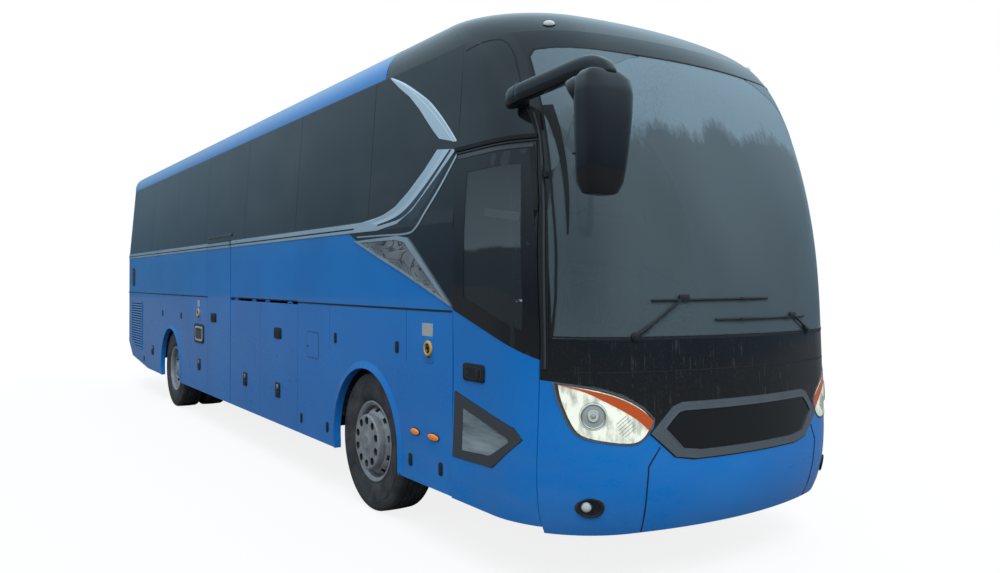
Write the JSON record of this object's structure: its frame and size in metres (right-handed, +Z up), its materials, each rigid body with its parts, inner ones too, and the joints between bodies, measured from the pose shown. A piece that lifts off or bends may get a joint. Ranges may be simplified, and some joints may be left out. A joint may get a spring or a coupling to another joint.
{
  "type": "coach bus",
  "caption": "Single-deck touring coach with a raised passenger deck, luggage holds, two doors, twin rear wheels and steered front wheels.",
  "frame": {"origin": "on the road under the middle of the overall box, mirrors included", "axes": "+X to the nose, +Y to the left side, +Z up"},
  "size_m": [12.26, 2.94, 3.5919],
  "materials": {
    "body_paint": "gloss",
    "black_paint": "gloss",
    "dark_glass": "gloss",
    "clear_glass": "gloss",
    "chrome": "polished",
    "lamp": "gloss",
    "tail_lamp": "gloss",
    "tyre": "matt",
    "wheel_paint": "satin",
    "chassis_paint": "matt",
    "engine": "rough",
    "floor": "matt",
    "dash": "matt",
    "seat_fabric": "woven",
    "black_plastic": "satin"
  },
  "bodies": {
    "chassis": {"underframe": "chassis_paint", "floor_deck": "floor", "side_wall_right": "body_paint", "side_wall_left": "body_paint", "roof": "body_paint", "front_cap": "black_paint", "front_mask": "black_paint", "front_bumper": "body_paint", "windscreen": "clear_glass", "side_glass": "dark_glass", "rear_wall": "body_paint", "rear_window": "dark_glass", "belt_trim": "chrome", "grille_frame": "chrome", "front_lamps": "lamp", "tail_lamps": "tail_lamp", "engine_block": "engine", "front_axle": "chassis_paint", "rear_axle": "chassis_paint", "dashboard": "dash", "driver_seat": "seat_fabric", "passenger_seats": "seat_fabric", "mirrors": "black_plastic", "wipers": "black_plastic"},
    "front_door": {"front_door": "body_paint", "front_door_glass": "clear_glass"},
    "door_arms": {"door_arms": "chassis_paint"},
    "middle_door": {"middle_door": "body_paint"},
    "steering_wheel": {"steering_wheel": "dash"},
    "knuckle_left": {"knuckle_left": "chassis_paint"},
    "knuckle_right": {"knuckle_right": "chassis_paint"},
    "tie_rod": {"tie_rod": "chassis_paint"},
    "engine_hatch": {"engine_hatch": "body_paint"},
    "flap_right_rear": {"flap_right_rear": "body_paint"},
    "flap_right_front": {"flap_right_front": "body_paint"},
    "flap_left_rear": {"flap_left_rear": "body_paint"},
    "flap_left_front": {"flap_left_front": "body_paint"},
    "wheel_front_left": {"rim_front_left": "wheel_paint", "tyre_front_left": "tyre"},
    "wheel_front_right": {"rim_front_right": "wheel_paint", "tyre_front_right": "tyre"},
    "wheel_rear_left": {"rim_rear_left": "wheel_paint", "tyre_rear_left": "tyre"},
    "wheel_rear_right": {"rim_rear_right": "wheel_paint", "tyre_rear_right": "tyre"}
  },
  "joints": [
    {"name": "steer_left", "type": "hinge", "parent": "chassis", "child": "knuckle_left", "pos_m": [3.35, 0.93, 0.52], "axis": [0, 0, 1], "range_deg": [-40, 40]},
    {"name": "steer_right", "type": "hinge", "parent": "chassis", "child": "knuckle_right", "pos_m": [3.35, -0.93, 0.52], "axis": [0, 0, 1], "range_deg": [-40, 40]},
    {"name": "tie_rod_end", "type": "hinge", "parent": "knuckle_left", "child": "tie_rod", "pos_m": [3.15, 0.93, 0.375], "axis": [0, 0, 1], "range_deg": [-40, 40]},
    {"name": "steering_wheel_turn", "type": "hinge", "parent": "chassis", "child": "steering_wheel", "pos_m": [4.85, 0.62, 1.59], "axis": [-0.5, 0, 0.866], "range_deg": [-720, 720]},
    {"name": "roll_front_left", "type": "hinge", "parent": "knuckle_left", "child": "wheel_front_left", "pos_m": [3.35, 1.085, 0.52], "axis": [0, 1, 0], "continuous": true},
    {"name": "roll_front_right", "type": "hinge", "parent": "knuckle_right", "child": "wheel_front_right", "pos_m": [3.35, -1.085, 0.52], "axis": [0, 1, 0], "continuous": true},
    {"name": "roll_rear_left", "type": "hinge", "parent": "chassis", "child": "wheel_rear_left", "pos_m": [-2.85, 1.085, 0.52], "axis": [0, 1, 0], "continuous": true},
    {"name": "roll_rear_right", "type": "hinge", "parent": "chassis", "child": "wheel_rear_right", "pos_m": [-2.85, -1.085, 0.52], "axis": [0, 1, 0], "continuous": true},
    {"name": "door_swing", "type": "hinge", "parent": "chassis", "child": "door_arms", "pos_m": [5.23, -1.05, 1.3], "axis": [0, 0, 1], "range_deg": [0, 125]},
    {"name": "door_level", "type": "hinge", "parent": "door_arms", "child": "front_door", "pos_m": [4.73, -1.05, 1.3], "axis": [0, 0, 1], "range_deg": [-125, 0]},
    {"name": "middle_door_hinge", "type": "hinge", "parent": "chassis", "child": "middle_door", "pos_m": [-0.08, -1.267, 1.2], "axis": [0, 0, 1], "range_deg": [0, 90]},
    {"name": "flap_right_rear_hinge", "type": "hinge", "parent": "chassis", "child": "flap_right_rear", "pos_m": [0.42, -1.267, 1.53], "axis": [-1, 0, 0], "range_deg": [0, 85]},
    {"name": "flap_right_front_hinge", "type": "hinge", "parent": "chassis", "child": "flap_right_front", "pos_m": [1.435, -1.267, 1.53], "axis": [-1, 0, 0], "range_deg": [0, 85]},
    {"name": "flap_left_rear_hinge", "type": "hinge", "parent": "chassis", "child": "flap_left_rear", "pos_m": [0.42, 1.267, 1.53], "axis": [1, 0, 0], "range_deg": [0, 85]},
    {"name": "flap_left_front_hinge", "type": "hinge", "parent": "chassis", "child": "flap_left_front", "pos_m": [1.435, 1.267, 1.53], "axis": [1, 0, 0], "range_deg": [0, 85]},
    {"name": "engine_hatch_hinge", "type": "hinge", "parent": "chassis", "child": "engine_hatch", "pos_m": [-6.122, 0, 1.9], "axis": [0, 1, 0], "range_deg": [0, 80]}
  ],
  "couplings": [
    {"joint": "steer_right", "follows": "steer_left", "ratio": 1},
    {"joint": "tie_rod_end", "follows": "steer_left", "ratio": -1},
    {"joint": "steering_wheel_turn", "follows": "steer_left", "ratio": 18},
    {"joint": "door_level", "follows": "door_swing", "ratio": -1}
  ]
}
